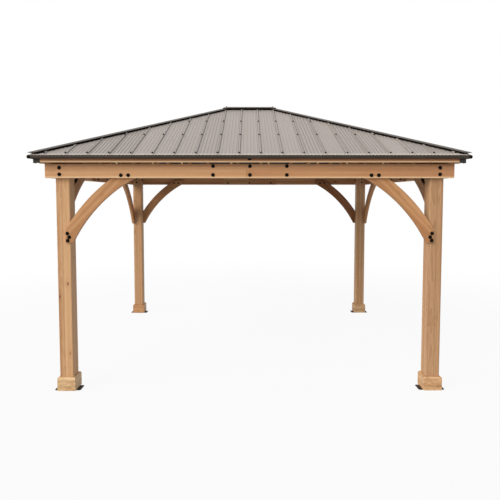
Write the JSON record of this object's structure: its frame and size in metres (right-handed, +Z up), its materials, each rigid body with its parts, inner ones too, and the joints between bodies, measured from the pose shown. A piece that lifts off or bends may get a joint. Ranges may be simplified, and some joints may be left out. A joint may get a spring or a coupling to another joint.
{
  "type": "garden gazebo",
  "caption": "Open timber garden gazebo with square posts on plinths, curved knee braces, paired beams and a low hipped roof of ribbed metal sheets with hip, ridge and eave trims.",
  "frame": {"origin": "middle of the plan at ground level, on the undersides of the base plates", "axes": "+X along the ridge to the right as seen from the front, +Y from the front to the back, +Z up"},
  "size_m": [4.278, 3.668, 3.1836],
  "materials": {
    "cedar": "satin light stain on planed cedar",
    "roof_sheet": "matte warm grey coating",
    "roof_trim": "satin dark brown coating",
    "dark_steel": "matte black powder coat",
    "black_foam": "matte black closure foam"
  },
  "bodies": {
    "root": {"base_plates": "dark_steel", "post_front_left": "cedar", "post_front_right": "cedar", "post_back_left": "cedar", "post_back_right": "cedar", "plinth_front_left": "cedar", "plinth_front_right": "cedar", "plinth_back_left": "cedar", "plinth_back_right": "cedar", "brace_front_left": "cedar", "brace_front_right": "cedar", "brace_back_left": "cedar", "brace_back_right": "cedar", "brace_left_front": "cedar", "brace_left_back": "cedar", "brace_right_front": "cedar", "brace_right_back": "cedar", "front_beam": "cedar", "back_beam": "cedar", "left_beam": "cedar", "right_beam": "cedar", "beam_splices": "cedar", "beam_packers": "cedar", "ridge_board": "cedar", "hip_rafters": "cedar", "common_rafters": "cedar", "jack_rafters": "cedar", "front_purlins": "cedar", "back_purlins": "cedar", "left_purlins": "cedar", "right_purlins": "cedar", "front_fascia": "cedar", "back_fascia": "cedar", "left_fascia": "cedar", "right_fascia": "cedar", "fascia_brackets": "dark_steel", "front_roof_sheet": "roof_sheet", "back_roof_sheet": "roof_sheet", "left_roof_sheet": "roof_sheet", "right_roof_sheet": "roof_sheet", "closure_strips": "black_foam", "hip_caps": "roof_trim", "ridge_cap": "roof_trim", "eave_trims": "roof_trim", "trim_corner_caps": "roof_trim"}
  },
  "joints": []
}
